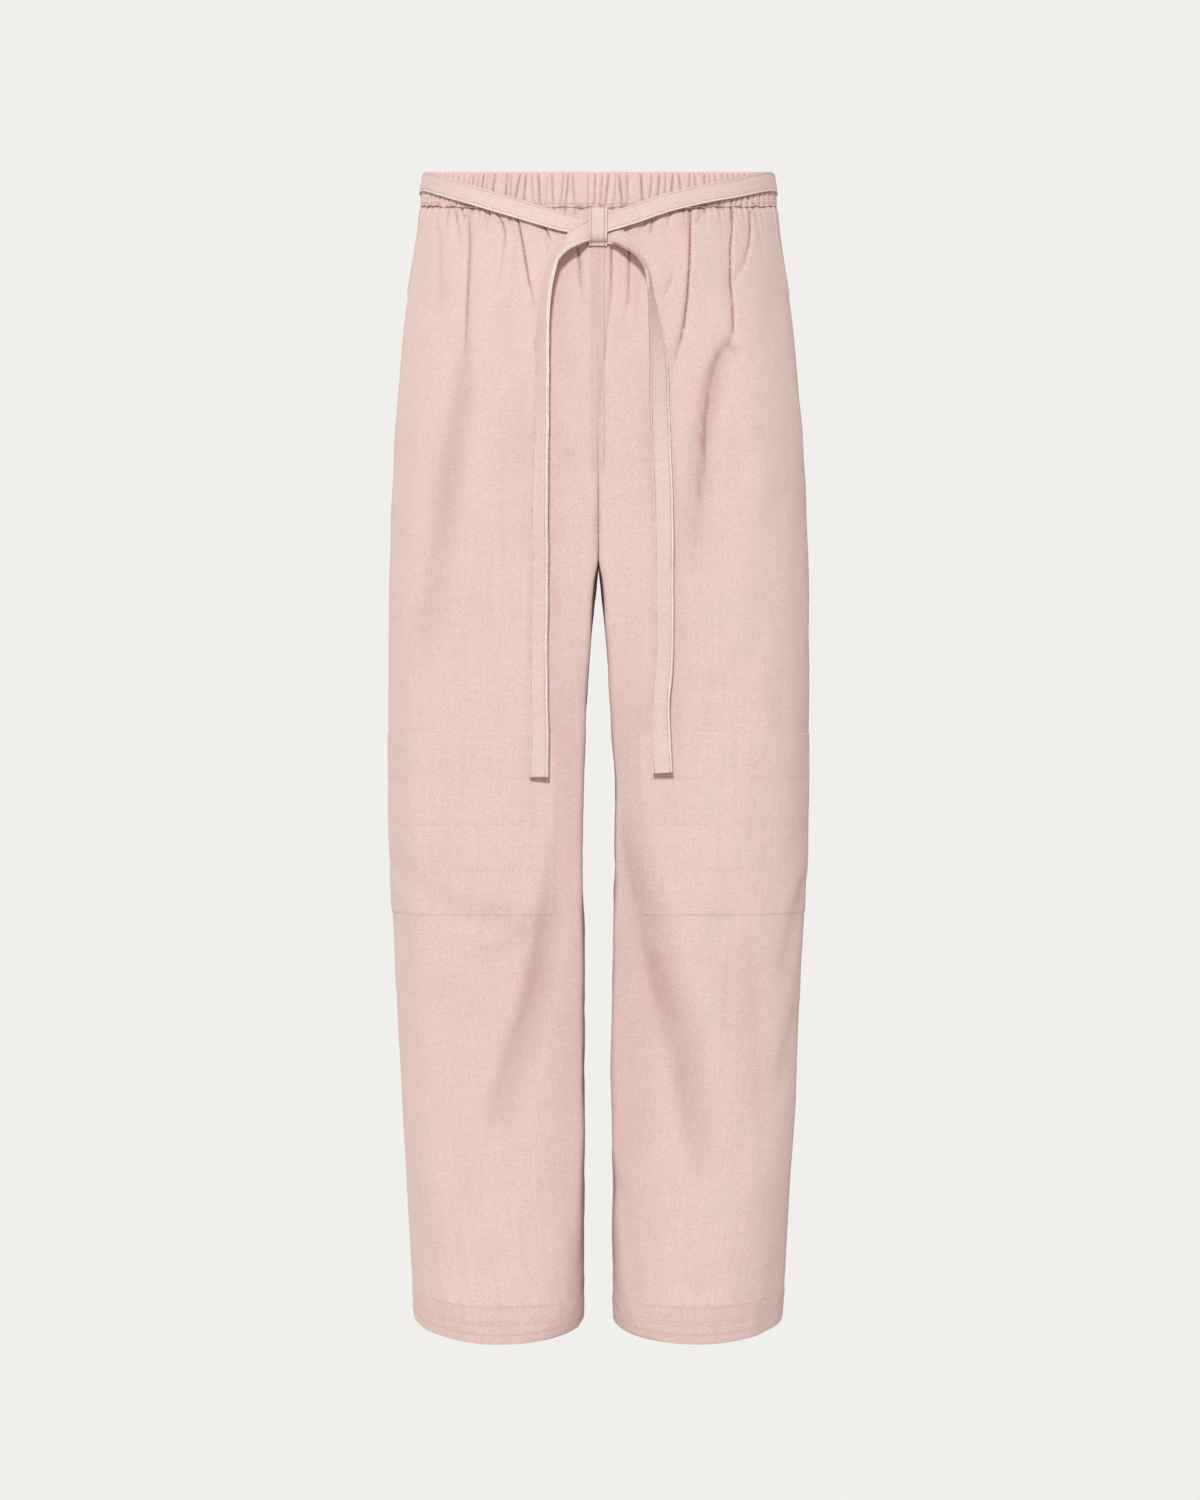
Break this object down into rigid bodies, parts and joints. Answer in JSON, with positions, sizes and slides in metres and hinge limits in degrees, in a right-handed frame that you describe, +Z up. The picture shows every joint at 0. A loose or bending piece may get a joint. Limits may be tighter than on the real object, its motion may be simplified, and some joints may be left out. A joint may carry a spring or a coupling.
{
  "type": "judo pants",
  "caption": "Hollow, worn pair of wide cotton trousers with a gathered elastic waistband, a front tie crossed in a belt loop and quilted knee patches.",
  "frame": {"origin": "middle of the waist opening, halfway up the waistband at the side seams, where a wearer holds the trousers up", "axes": "+Z up, -Y the front of the trousers, +X the wearer's left"},
  "size_m": [0.388, 0.2704, 1.0815],
  "materials": {
    "cotton": "matte plain-woven cotton, pale pink",
    "tie_cotton": "matte plain-woven cotton, pale pink, topstitched edges"
  },
  "bodies": {
    "root": {"front_left": "cotton", "front_right": "cotton", "back_left": "cotton", "back_right": "cotton", "waistband": "cotton", "knee_patch_left": "cotton", "knee_patch_right": "cotton", "tie_left": "tie_cotton", "tie_right": "tie_cotton", "tie_loop": "tie_cotton"}
  },
  "joints": []
}
